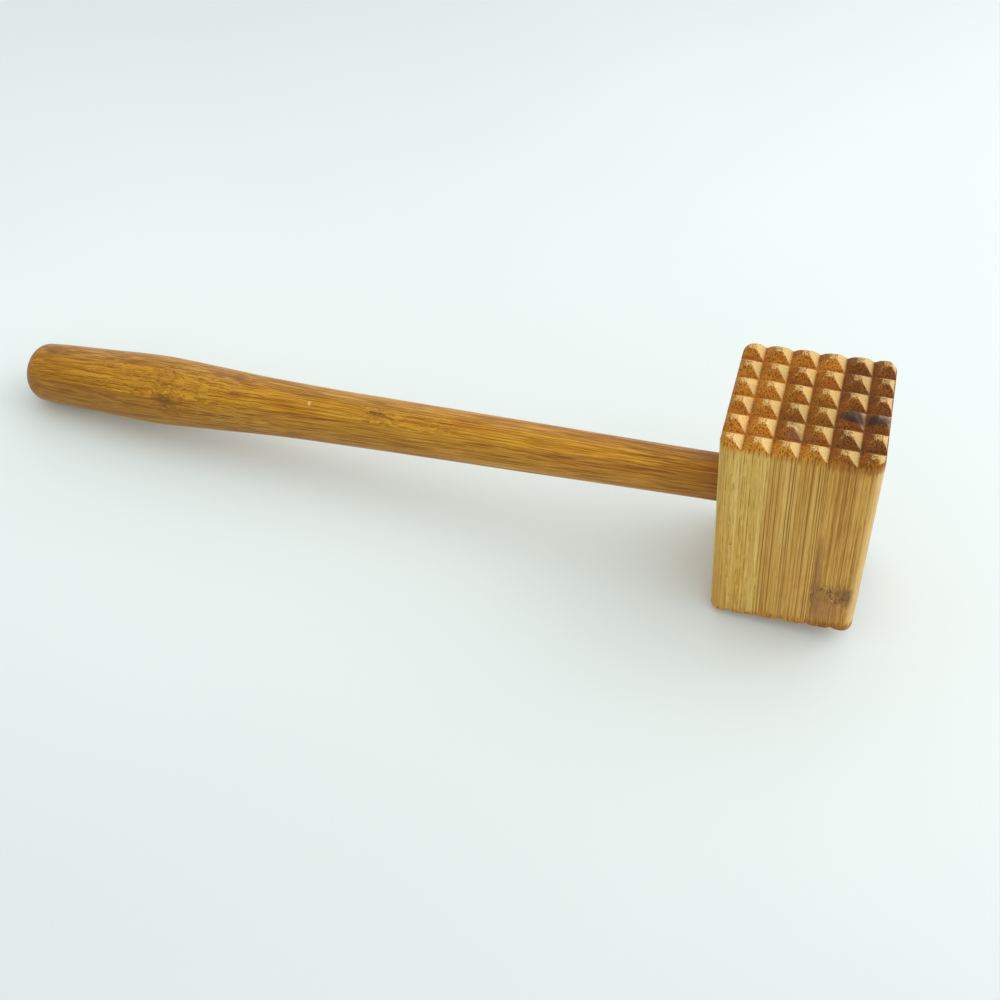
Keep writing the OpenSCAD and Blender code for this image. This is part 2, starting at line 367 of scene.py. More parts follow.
U_DOME = HL - BUTT_ROUND
outline = [(-SOCKET + 0.05, NECK_R - 1.0), (-SOCKET + 1.0, NECK_R - 0.04), (-20, NECK_R - 0.04), (-0.6, NECK_R - 0.04)]
outline += [(u, handle_r(u) - 0.02) for u in np.linspace(0.0, U_DOME, 236)]
for k in range(1, 24):
    t = math.radians(90 * k / 24)
    outline.append((U_DOME + BUTT_ROUND * math.sin(t), BUTT_FLAT + (BUTT_R - BUTT_FLAT) * math.cos(t) ** 0.82))
outline.append((HL, BUTT_FLAT))
outline.append((HL, 1.2))
handle_mesh = lathe("handle_turned", outline, 144, (-HALF_W, AXIS_Z))

# Turned and sanded by hand: the surface is never quite true.
co = np.zeros(len(handle_mesh.vertices) * 3)
handle_mesh.vertices.foreach_get("co", co)
co = co.reshape(-1, 3) * 1000
hy, hz = co[:, 1], co[:, 2] - AXIS_Z
rr = np.hypot(hy, hz)
free = np.clip((-HALF_W - co[:, 0] - 1.0) / 8, 0, 1)
ease = 0.05 * (1 + smooth_noise(co[:, 0] / 17, hy / 8, hz / 8, 41)) * free
k = np.where(rr > 1.5, (rr - ease) / np.maximum(rr, 1e-6), 1)
co[:, 1] = hy * k
co[:, 2] = AXIS_Z + hz * k
handle_mesh.vertices.foreach_set("co", (co / 1000).ravel())
handle_mesh.update()


def sawn(source, name, y_low, y_high, z_low, z_high):
    bm = bmesh.new()
    bm.from_mesh(source)
    for value, axis, keep in ((y_low, 1, 1), (y_high, 1, -1), (z_low, 2, 1), (z_high, 2, -1)):
        if value is None:
            continue
        at, normal = Vector((0, 0, 0)), Vector((0, 0, 0))
        at[axis] = value / 1000
        normal[axis] = keep
        cut = bmesh.ops.bisect_plane(bm, geom=bm.verts[:] + bm.edges[:] + bm.faces[:], dist=1e-7,
                                     plane_co=at, plane_no=normal, clear_inner=True)
        edges = [g for g in cut["geom_cut"] if isinstance(g, bmesh.types.BMEdge) and g.is_boundary]
        if edges:
            bmesh.ops.triangle_fill(bm, use_beauty=True, use_dissolve=False, edges=edges)
    bmesh.ops.recalc_face_normals(bm, faces=bm.faces[:])
    mesh = bpy.data.meshes.new(name)
    bm.to_mesh(mesh)
    bm.free()
    return mesh


handle_pieces = {}
for ply in range(1, 5):
    z_high = None if ply == 1 else AXIS_Z + HANDLE_PLY * (3 - ply) + 0.0
    z_low = None if ply == 4 else AXIS_Z + HANDLE_PLY * (2 - ply)
    for side in ("front", "back"):
        y_low = None if side == "front" else HANDLE_SEAMS[ply - 1]
        y_high = HANDLE_SEAMS[ply - 1] if side == "front" else None
        node = f"handle_ply_{ply}_{side}"
        o = link(node + ".v", sawn(handle_mesh, node, y_low, y_high, z_low, z_high))
        finish_shading(o.data)
        handle_pieces[(ply, side)] = (o, node)
bpy.data.meshes.remove(handle_mesh)


# ---------------------------------------------------------------------------
# Materials: solid bamboo, grown in three dimensions, so that strips show lines
# along the fibre on their sides and bundle dots on their end grain.
def lin(r, g, b):
    return tuple(c / 12.92 if c <= 0.04045 else ((c + 0.055) / 1.055) ** 2.4 for c in (r / 255, g / 255, b / 255))


class Graph:
    def __init__(self, name):
        self.material = bpy.data.materials.new(name)
        self.material.use_nodes = True
        self.tree = self.material.node_tree
        self.tree.nodes.clear()

    def node(self, kind, **settings):
        n = self.tree.nodes.new(kind)
        for key, value in settings.items():
            setattr(n, key, value)
        return n

    def put(self, socket, value):
        if isinstance(value, bpy.types.NodeSocket):
            self.tree.links.new(value, socket)
        elif isinstance(value, (tuple, list)):
            want = len(socket.default_value)
            value = tuple(value)
            socket.default_value = value + (1.0,) * (want - len(value)) if want > len(value) else value[:want]
        elif value is not None:
            socket.default_value = value

    def math(self, op, a, b=None, c=None, clamp=False):
        n = self.node("ShaderNodeMath", operation=op, use_clamp=clamp)
        for socket, value in zip(n.inputs, (a, b, c)):
            self.put(socket, value)
        return n.outputs[0]

    def vec(self, op, a, b=None):
        n = self.node("ShaderNodeVectorMath", operation=op)
        self.put(n.inputs[0], a)
        if op == "SCALE":
            self.put(n.inputs["Scale"], b)
            return n.outputs["Vector"]
        if b is not None:
            self.put(n.inputs[1], b)
        return n.outputs["Value" if op in ("LENGTH", "DISTANCE", "DOT_PRODUCT") else "Vector"]

    def split(self, v):
        n = self.node("ShaderNodeSeparateXYZ")
        self.put(n.inputs[0], v)
        return n.outputs[0], n.outputs[1], n.outputs[2]

    def join(self, x, y, z):
        n = self.node("ShaderNodeCombineXYZ")
        for socket, value in zip(n.inputs, (x, y, z)):
            self.put(socket, value)
        return n.outputs[0]

    def step(self, x, low, high, to0=0.0, to1=1.0):
        """0 at low, 1 at high, smoothly; low may be above high."""
        n = self.node("ShaderNodeMapRange", interpolation_type="SMOOTHSTEP")
        flip = low > high
        for key, value in (("Value", x), ("From Min", min(low, high)), ("From Max", max(low, high)),
                           ("To Min", to1 if flip else to0), ("To Max", to0 if flip else to1)):
            self.put(n.inputs[key], value)
        return n.outputs["Result"]

    def mix(self, fac, a, b, blend="MIX"):
        n = self.node("ShaderNodeMix", data_type="RGBA", blend_type=blend, clamp_factor=True)
        self.put(n.inputs["Factor"], fac)
        self.put([s for s in n.inputs if s.name == "A" and s.type == "RGBA"][0], a)
        self.put([s for s in n.inputs if s.name == "B" and s.type == "RGBA"][0], b)
        return [s for s in n.outputs if s.type == "RGBA"][0]

    def noise(self, v, scale=1.0, detail=2.0, rough=0.5, colour=False, distortion=0.0):
        n = self.node("ShaderNodeTexNoise", noise_dimensions="3D")
        self.put(n.inputs["Vector"], v)
        n.inputs["Scale"].default_value = scale
        n.inputs["Detail"].default_value = detail
        n.inputs["Roughness"].default_value = rough
        n.inputs["Distortion"].default_value = distortion
        return n.outputs["Color" if colour else "Fac"]

    def cells(self, v, scale=1.0, randomness=1.0, dims="3D"):
        n = self.node("ShaderNodeTexVoronoi", voronoi_dimensions=dims, feature="F1")
        self.put(n.inputs["Vector"], v)
        n.inputs["Scale"].default_value = scale
        n.inputs["Randomness"].default_value = randomness
        return n.outputs["Distance"], n.outputs["Color"]

    def rows(self, w, randomness=1.0):
        """Distance to the nearest of irregularly spaced parallel lines."""
        n = self.node("ShaderNodeTexVoronoi", voronoi_dimensions="1D", feature="F1")
        self.put(n.inputs["W"], w)
        n.inputs["Scale"].default_value = 1.0
        n.inputs["Randomness"].default_value = randomness
        return n.outputs["Distance"], n.outputs["Color"]

    def bump(self, height, strength, distance, normal=None):
        n = self.node("ShaderNodeBump")
        n.inputs["Strength"].default_value = strength
        n.inputs["Distance"].default_value = distance
        self.put(n.inputs["Height"], height)
        if normal is not None:
            self.put(n.inputs["Normal"], normal)
        return n.outputs["Normal"]


def tint(colour, k):
    return tuple(max(0.0, c * k) for c in colour)


def fibre_field(g, along, offset, meander, spacing, length, nodes=()):
    """The coordinates across and along the fibres, with the growth's own
    wander and the swirl at each culm node."""
    place = g.vec("SCALE", g.node("ShaderNodeTexCoord").outputs["Object"], 1000.0)
    x, y, z = g.split(place)
    a, b, c = (x, y, z) if along == "z" else (y, z, x)
    slow = g.noise(g.join(g.math("MULTIPLY", a, 0.035), g.math("MULTIPLY", b, 0.035),
                          g.math("MULTIPLY_ADD", c, 0.014, offset[2])), 1.0, 1.0, 0.5, colour=True)
    sx, sy, _ = g.split(g.vec("SUBTRACT", slow, (0.5, 0.5, 0.5)))
    a2 = g.math("MULTIPLY_ADD", sx, meander, a)
    b2 = g.math("MULTIPLY_ADD", sy, meander, b)
    near = None
    if nodes:
        swirl = g.noise(g.join(g.math("MULTIPLY", a, 0.42), g.math("MULTIPLY", b, 0.42),
                               g.math("MULTIPLY_ADD", c, 0.20, offset[0])), 1.0, 2.0, 0.6, colour=True)
        wx, wy, _ = g.split(g.vec("SUBTRACT", swirl, (0.5, 0.5, 0.5)))
        for (at, width) in nodes:
            d = g.math("DIVIDE", g.math("SUBTRACT", c, at), width)
            bell = g.math("DIVIDE", 1.0, g.math("MULTIPLY_ADD", g.math("MULTIPLY", d, d), 1.6, 1.0))
            bell = g.math("POWER", bell, 2.0)
            near = bell if near is None else g.math("MAXIMUM", near, bell)
        a2 = g.math("MULTIPLY_ADD", g.math("MULTIPLY", wx, near), 4.2, a2)
        b2 = g.math("MULTIPLY_ADD", g.math("MULTIPLY", wy, near), 4.2, b2)
    across = (g.math("ADD", a2, offset[0]), g.math("ADD", b2, offset[1]))
    return (x, y, z), across, c, near


def bamboo_head(name, ply, col, look):
    """look: side_hi, side_lo, line, end, dot, tip colours and the strip's own
    spacing, dash length, contrast, nodes and stain."""
    g = Graph(name)
    off = look["offset"]
    (x, y, z), (a, b), c, near = fibre_field(g, "z", off, look["meander"], 1, 1, look.get("nodes", ()))
    sp, length = look["spacing"], look["dash"]

    # Vascular bundles run the strip's whole length: dots where they are cut
    # across, lines where the saw ran along them.
    if ply in (1, 9):
        dist, cell = g.rows(g.math("DIVIDE", a, sp), 0.85)
    else:
        dist, cell = g.cells(g.join(g.math("DIVIDE", a, sp), g.math("DIVIDE", b, sp), 0.0), 1.0, 0.90, "2D")
    cr, cg, cb = g.split(cell)
    pore = g.join(g.math("DIVIDE", a, look["pore"]), g.math("DIVIDE", b, look["pore"]), 0.0)
    pore_dist, pore_cell = g.cells(pore, 1.0, 0.85, "2D")
    pr, pg, pb = g.split(pore_cell)

    broad = g.noise(g.join(g.math("MULTIPLY", a, 0.30), g.math("MULTIPLY", b, 0.30),
                           g.math("MULTIPLY", c, 0.006)), 1.0, 2.0, 0.55)
    streak = g.noise(g.join(g.math("MULTIPLY", a, 1.7), g.math("MULTIPLY", b, 1.7),
                            g.math("MULTIPLY", c, 0.012)), 1.0, 2.0, 0.6)
    fine = g.noise(g.join(g.math("MULTIPLY", a, 3.2), g.math("MULTIPLY", b, 3.2),
                          g.math("MULTIPLY", c, 0.10)), 1.0, 2.0, 0.6)
    patch = g.noise(g.join(x, y, z), 0.055, 2.0, 0.5)
    broken = g.noise(g.join(g.math("MULTIPLY", a, 0.8), g.math("MULTIPLY", b, 0.8),
                            g.math("DIVIDE", c, length)), 1.0, 1.0, 0.5)

    side = g.mix(g.step(broad, 0.36, 0.64), look["side_lo"], look["side_hi"])
    side = g.mix(g.step(patch, 0.40, 0.70, 0.0, look.get("blush_k", 0.35)), side, look["blush"])
    side = g.mix(g.step(streak, 0.52, 0.60, 0.0, look["streak_k"]), side, look["line"])
    side = g.mix(g.step(streak, 0.45, 0.34, 0.0, 0.45), side, tint(look["side_hi"], 1.20))
    side = g.mix(g.step(fine, 0.52, 0.64, 0.0, look.get("fine_k", 0.36)), side, look["line"])
    side = g.mix(g.step(fine, 0.46, 0.33, 0.0, 0.32), side, tint(look["side_hi"], 1.22))
    width = g.math("MULTIPLY_ADD", cr, 0.12, 0.10)
    dash = g.step(g.math("SUBTRACT", dist, width), 0.08, -0.06)
    strong = g.math("MULTIPLY", g.step(cg, 0.20, 0.85, 0.35, 1.0), g.step(broken, 0.42, 0.56, look["gap_k"], 1.0))
    side = g.mix(g.math("MULTIPLY", g.math("MULTIPLY", dash, strong), look["dash_k"]), side,
                 tint(look["line"], 0.80))

    # Culm node: a darker band with torn light and dark flecks.
    if near is not None:
        band = g.step(near, 0.25, 0.85)
        fleck, fc = g.cells(g.join(g.math("MULTIPLY", a, 1.5), g.math("MULTIPLY", b, 1.5),
                                   g.math("MULTIPLY", c, 0.42)), 1.0, 1.0)
        fr, fg, fb = g.split(fc)
        side = g.mix(g.math("MULTIPLY", band, look.get("node_k", 0.6)), side, look["node_colour"])
        side = g.mix(g.math("MULTIPLY", g.math("MULTIPLY", band, g.step(fr, 0.52, 0.60)),
                            g.step(fleck, 0.50, 0.34, 0.0, 0.80)), side, look["side_hi"])
        side = g.mix(g.math("MULTIPLY", g.math("MULTIPLY", band, g.step(fg, 0.52, 0.60)),
                            g.step(fleck, 0.54, 0.32, 0.0, 0.90)), side, tint(look["line"], 0.42))

    # End grain.
    mottle = g.noise(g.join(x, y, z), 0.16, 3.0, 0.6)
    grain = g.noise(g.join(x, y, z), 1.9, 2.0, 0.65)
    end = g.mix(g.step(mottle, 0.32, 0.68), look["end_lo"], look["end"])
    end = g.mix(g.step(grain, 0.45, 0.75, 0.0, 0.35), end, tint(look["end"], 1.45))
    # Facets, tips and groove bottoms, by how low they lie and how they face; the facets facing the light on the right
    # get a painted highlight and the groove bottoms painted shade.
    depth = g.math("MINIMUM", z, g.math("SUBTRACT", HEAD_H, z))
    normal = g.node("ShaderNodeTexCoord").outputs["Normal"]
    nx, ny, nz = g.split(normal)
    up = g.math("ABSOLUTE", nz)
    flat = g.step(g.math("MULTIPLY_ADD", g.math("SUBTRACT", grain, 0.5), 0.26, up), 0.75, 0.93)
    flat = g.math("MULTIPLY", flat, g.step(depth, 2.0, 1.1))
    # Painted highlight: facets facing +x, towards the light on the right, are painted pale in the tips' colour.
    right = g.math("MULTIPLY", g.step(nx, 0.30, 0.66), g.step(up, 0.5, 0.62))
    end = g.mix(g.math("MULTIPLY", flat, g.step(grain, 0.35, 0.62, 0.35, 0.82)), end, look["tip_and_lit_side"])
    end = g.mix(g.math("MULTIPLY", right, look.get("right_k", 0.88)), end, look["tip_and_lit_side"])
    # Painted shade: the bottoms of the grooves are darkened.
    groove_shade = g.math("MULTIPLY", g.step(depth, 2.5, 3.6, 0.0, 0.42), g.step(up, 0.30, 0.55))
    end = g.mix(groove_shade, end, tint(look["end_lo"], 0.55))
    end = g.mix(g.step(up, 0.50, 0.20, 0.0, 0.45), end, look["rim_tone"])
    dot_w = g.math("MULTIPLY_ADD", pb, 0.14, 0.22)
    dots = g.step(g.math("SUBTRACT", pore_dist, dot_w), 0.12, -0.08)
    dots = g.math("MULTIPLY", dots, g.step(pr, 0.05, 0.6, 0.35, 1.0))
    # The dots fade on those lit facets, as part of the same painted highlight.
    soft = g.math("SUBTRACT", 1.0, g.math("MULTIPLY", right, 0.72))
    end = g.mix(g.math("MULTIPLY", g.math("MULTIPLY", dots, soft), look.get("dot_k", 0.88)), end, look["dot"])

    # Stains: (centre, radii, colour, strength)
    def stained(base, list_, torn=0.0):
        for (centre, radii, colour, k) in list_:
            d = g.vec("LENGTH", g.vec("DIVIDE", g.vec("SUBTRACT", g.join(x, y, z), centre), radii))
            ragged = g.noise(g.join(x, y, g.math("MULTIPLY", z, 0.25)), 0.45, 3.0, 0.65)
            d = g.math("MULTIPLY_ADD", g.math("SUBTRACT", ragged, 0.5), 1.1, d)
            d = g.math("MULTIPLY_ADD", g.math("SUBTRACT", fine, 0.5), torn, d)
            base = g.mix(g.step(d, 1.15, 0.45, 0.0, k), base, colour)
        return base

    end = stained(end, look.get("end_stains", ()))
    side = stained(side, look.get("side_stains", ()), 2.6)

    # The upright edges away from the handle, which face the light on the right, are paler: partly rubbed wear, partly
    # a painted highlight.
    rub_and_highlight = g.math("MULTIPLY", g.step(nx, 0.20, 0.72), g.step(g.math("ABSOLUTE", ny), 0.12, 0.40))
    rub_and_highlight = g.math("MULTIPLY", rub_and_highlight, g.step(fine, 0.30, 0.55, 0.45, 0.85))
    side = g.mix(rub_and_highlight, side, tint(look["tip_and_lit_side"], 1.12))

    # End grain gives way to long grain raggedly, round the worn edge.
    rag = g.math("MULTIPLY", up, g.math("MULTIPLY_ADD", g.math("SUBTRACT", fine, 0.5), 3.2, 1.0))
    ends = g.step(rag, 0.05, 0.20)
    lip = g.math("MULTIPLY_ADD", g.math("SUBTRACT", fine, 0.5), 9.0, depth)
    ends = g.math("MAXIMUM", ends, g.step(lip, look["rim"] + 1.2, look["rim"] - 1.0, 0.0, 0.80))
    colour = g.mix(ends, side, end)

    # Handling dirt and shade in the fibres.
    grime = g.noise(g.join(x, y, z), 0.11, 4.0, 0.6)
    colour = g.mix(g.step(grime, 0.56, 0.78, 0.0, 0.20), colour, tint(look["line"], 0.8))

    shader = g.node("ShaderNodeBsdfPrincipled")
    g.put(shader.inputs["Base Color"], colour)
    rough = g.math("MULTIPLY_ADD", ends, 0.10, g.math("MULTIPLY_ADD", streak, 0.22, 0.34))
    g.put(shader.inputs["Roughness"], rough)
    shader.inputs["IOR"].default_value = 1.47
    shader.inputs["Specular IOR Level"].default_value = 0.18
    shader.inputs["Coat Weight"].default_value = 0.02
    shader.inputs["Coat Roughness"].default_value = 0.38
    rise = g.math("ADD", g.math("MULTIPLY", dash, -0.5), g.math("MULTIPLY", fine, 0.5))
    rise = g.math("ADD", rise, g.math("MULTIPLY", g.math("MULTIPLY", dots, ends), -0.5))
    rise = g.math("MULTIPLY_ADD", g.math("MULTIPLY", grain, ends), 0.6, rise)
    g.put(shader.inputs["Normal"], g.bump(rise, 0.55, 0.00012))
    out = g.node("ShaderNodeOutputMaterial")
    g.put(out.inputs["Surface"], shader.outputs[0])
    return g.material


def bamboo_handle(name, look):
    g = Graph(name)
    off = look["offset"]
    (x, y, z), (a, b), c, near = fibre_field(g, "x", off, look["meander"], 1, 1, look.get("nodes", ()))
    sp, length = look["spacing"], look["dash"]
    # Where the grip swells, the saw cut the fibres into a feathered figure.
    for (centre, half, size, rise) in look.get("figure", ()):
        d = g.math("DIVIDE", g.math("SUBTRACT", x, centre), half)
        here = g.step(g.math("ABSOLUTE", d), 1.0, 0.35, 0.0, rise)
        ripple = g.noise(g.join(g.math("MULTIPLY", x, 1.0 / size), g.math("MULTIPLY", y, 0.07),
                                g.math("MULTIPLY", z, 0.07)), 1.0, 1.0, 0.4, colour=True)
        rx, ry, _ = g.split(g.vec("SUBTRACT", ripple, (0.5, 0.5, 0.5)))
        a = g.math("MULTIPLY_ADD", rx, here, a)
        b = g.math("MULTIPLY_ADD", ry, here, b)
    bundle = g.join(g.math("DIVIDE", a, sp), g.math("DIVIDE", b, sp), 0.0)
    dist, cell = g.cells(bundle, 1.0, 0.95, "2D")
    broken = g.noise(g.join(g.math("MULTIPLY", a, 0.8), g.math("MULTIPLY", b, 0.8),
                            g.math("DIVIDE", c, length)), 1.0, 1.0, 0.5)
    cr, cg, cb = g.split(cell)

    broad = g.noise(g.join(g.math("MULTIPLY", a, 0.26), g.math("MULTIPLY", b, 0.26),
                           g.math("MULTIPLY", c, 0.010)), 1.0, 2.0, 0.55)
    streak = g.noise(g.join(g.math("MULTIPLY", a, 1.10), g.math("MULTIPLY", b, 1.10),
                            g.math("MULTIPLY", c, 0.022)), 1.0, 3.0, 0.60, distortion=0.10)
    fine = g.noise(g.join(g.math("MULTIPLY", a, 2.6), g.math("MULTIPLY", b, 2.6),
                          g.math("MULTIPLY", c, 0.055)), 1.0, 3.0, 0.6)
    patch = g.noise(g.join(g.math("MULTIPLY", x, 0.4), y, z), 0.06, 3.0, 0.55)

    colour = g.mix(g.step(broad, 0.34, 0.66), look["lo"], look["hi"])
    colour = g.mix(g.step(patch, 0.42, 0.70, 0.0, look.get("blush_k", 0.4)), colour, look["blush"])
    colour = g.mix(g.step(streak, 0.50, 0.64, 0.0, look["streak_k"]), colour, look["line"])
    colour = g.mix(g.step(streak, 0.45, 0.30, 0.0, 0.55), colour, look["light"])
    colour = g.mix(g.step(fine, 0.51, 0.62, 0.0, 0.64), colour, look["line"])
    colour = g.mix(g.step(fine, 0.48, 0.35, 0.0, 0.72), colour, look["light"])
    width = g.math("MULTIPLY_ADD", cr, 0.14, 0.12)
    dash = g.step(g.math("SUBTRACT", dist, width), 0.16, -0.05)
    strong = g.math("MULTIPLY", g.step(cg, 0.25, 0.9, 0.20, 1.0), g.step(broken, 0.42, 0.58, 0.15, 1.0))
    colour = g.mix(g.math("MULTIPLY", g.math("MULTIPLY", dash, strong), look["dash_k"]), colour, look["line"])

    if near is not None:
        band = g.step(near, 0.18, 0.85)
        fleck, fc = g.cells(g.join(g.math("MULTIPLY", a, 0.85), g.math("MULTIPLY", b, 0.85),
                                   g.math("MULTIPLY", c, 0.40)), 1.0, 1.0)
        fr, fg, fb = g.split(fc)
        colour = g.mix(g.math("MULTIPLY", band, look.get("node_k", 0.4)), colour, look["node_colour"])
        colour = g.mix(g.math("MULTIPLY", g.math("MULTIPLY", band, g.step(fr, 0.55, 0.7)),
                              g.step(fleck, 0.45, 0.25, 0.0, 0.6)), colour, look["light"])
        colour = g.mix(g.math("MULTIPLY", g.math("MULTIPLY", band, g.step(fg, 0.58, 0.76)),
                              g.step(fleck, 0.44, 0.24, 0.0, 0.6)), colour, tint(look["line"], 0.55))

    # Small marks: (centre, radii, colour, strength, scale of the flecks)
    for (centre, radii, paint, k, size) in look.get("marks", ()):
        place = g.join(x, y, z)
        d = g.vec("LENGTH", g.vec("DIVIDE", g.vec("SUBTRACT", place, centre), radii))
        ragged = g.noise(g.vec("MULTIPLY", place, (0.45, 1.0, 1.0)), size, 3.0, 0.7)
        d = g.math("MULTIPLY_ADD", g.math("SUBTRACT", ragged, 0.5), 2.6, d)
        colour = g.mix(g.step(d, 1.05, 0.55, 0.0, k), colour, paint)

    # Darker next to the head, as painted shade, and on the rounded end, whose fibres are cut across; darker also
    # towards the butt end, which on the brown strips is painted shade.
    nx, ny, nz = g.split(g.node("ShaderNodeTexCoord").outputs["Normal"])
    ends = g.step(g.math("MULTIPLY_ADD", g.math("SUBTRACT", fine, 0.5), 0.3, g.math("ABSOLUTE", nx)), 0.42, 0.85)
    dots = g.step(g.math("SUBTRACT", dist, g.math("MULTIPLY_ADD", cb, 0.12, 0.18)), 0.12, -0.05)
    end = g.mix(g.math("MULTIPLY", dots, 0.7), look["end"], tint(look["line"], 0.5))
    colour = g.mix(g.math("MULTIPLY", ends, 0.75), colour, end)
    paler = g.step(x, -240.0, -75.0, 1.0, 1.13)
    colour = g.vec("MULTIPLY", colour, g.join(paler, paler, paler))
    # Painted shade on the handle where it meets the head.
    painted_neck_shade = g.step(x, -66.0, -30.0, 0.0, 0.26)
    colour = g.mix(painted_neck_shade, colour, tint(look["line"], 0.9))
    # Darker towards the butt end; on the brown strips it starts sooner and is painted shade on the shaded side.
    held = g.step(x, *look["held"])
    colour = g.mix(held, colour, tint(look["line"], 1.3))
    grime = g.noise(g.join(g.math("MULTIPLY", x, 0.5), y, z), 0.12, 4.0, 0.6)
    colour = g.mix(g.step(grime, 0.54, 0.78, 0.0, 0.28), colour, look["line"])

    shader = g.node("ShaderNodeBsdfPrincipled")
    g.put(shader.inputs["Base Color"], colour)
    rough = g.math("MULTIPLY_ADD", ends, 0.12, g.math("MULTIPLY_ADD", streak, 0.22, 0.30))
    g.put(shader.inputs["Roughness"], rough)
    shader.inputs["IOR"].default_value = 1.48
    shader.inputs["Specular IOR Level"].default_value = 0.20
    shader.inputs["Coat Weight"].default_value = 0.03
    shader.inputs["Coat Roughness"].default_value = 0.32
    rise = g.math("ADD", g.math("MULTIPLY", dash, -0.4), g.math("MULTIPLY", fine, 0.7))
    g.put(shader.inputs["Normal"], g.bump(rise, 0.45, 0.0001))
    out = g.node("ShaderNodeOutputMaterial")
    g.put(out.inputs["Surface"], shader.outputs[0])
    return g.material


# Colours are linear reflectances.
# The tips' colour also serves as the painted highlight on facets and upright edges facing the light on the right.
PALE = dict(side_hi=(0.72, 0.47, 0.125), side_lo=(0.58, 0.345, 0.062), blush=(0.66, 0.345, 0.052),
            line=(0.34, 0.150, 0.018), end=(0.68, 0.300, 0.032), end_lo=(0.50, 0.192, 0.017),
            dot=(0.20, 0.072, 0.008), tip_and_lit_side=(0.86, 0.62, 0.265))
HONEY = dict(side_hi=(0.70, 0.415, 0.088), side_lo=(0.55, 0.28, 0.042), blush=(0.62, 0.28, 0.040),
             line=(0.30, 0.115, 0.013), end=(0.65, 0.262, 0.023), end_lo=(0.46, 0.162, 0.013),
             dot=(0.17, 0.055, 0.007), tip_and_lit_side=(0.84, 0.575, 0.215))
TAN = dict(side_hi=(0.66, 0.38, 0.080), side_lo=(0.51, 0.255, 0.042), blush=(0.52, 0.215, 0.033),
           line=(0.26, 0.098, 0.013), end=(0.46, 0.160, 0.013), end_lo=(0.31, 0.098, 0.009),
           dot=(0.120, 0.036, 0.005), tip_and_lit_side=(0.81, 0.525, 0.180))
BROWN = dict(side_hi=(0.57, 0.305, 0.062), side_lo=(0.42, 0.192, 0.031), blush=(0.45, 0.168, 0.030),
             line=(0.20, 0.072, 0.011), end=(0.33, 0.108, 0.014), end_lo=(0.205, 0.064, 0.010),
             dot=(0.080, 0.024, 0.005), tip_and_lit_side=(0.79, 0.505, 0.190))

rng = np.random.RandomState(20)
BASE_OF = {"bamboo_pale": PALE, "bamboo_honey": HONEY, "bamboo_tan": TAN,
           "bamboo_brown": BROWN, "bamboo_stained": BROWN}
PURPLE = (0.056, 0.027, 0.016)
GREYISH = (0.30, 0.22, 0.19)

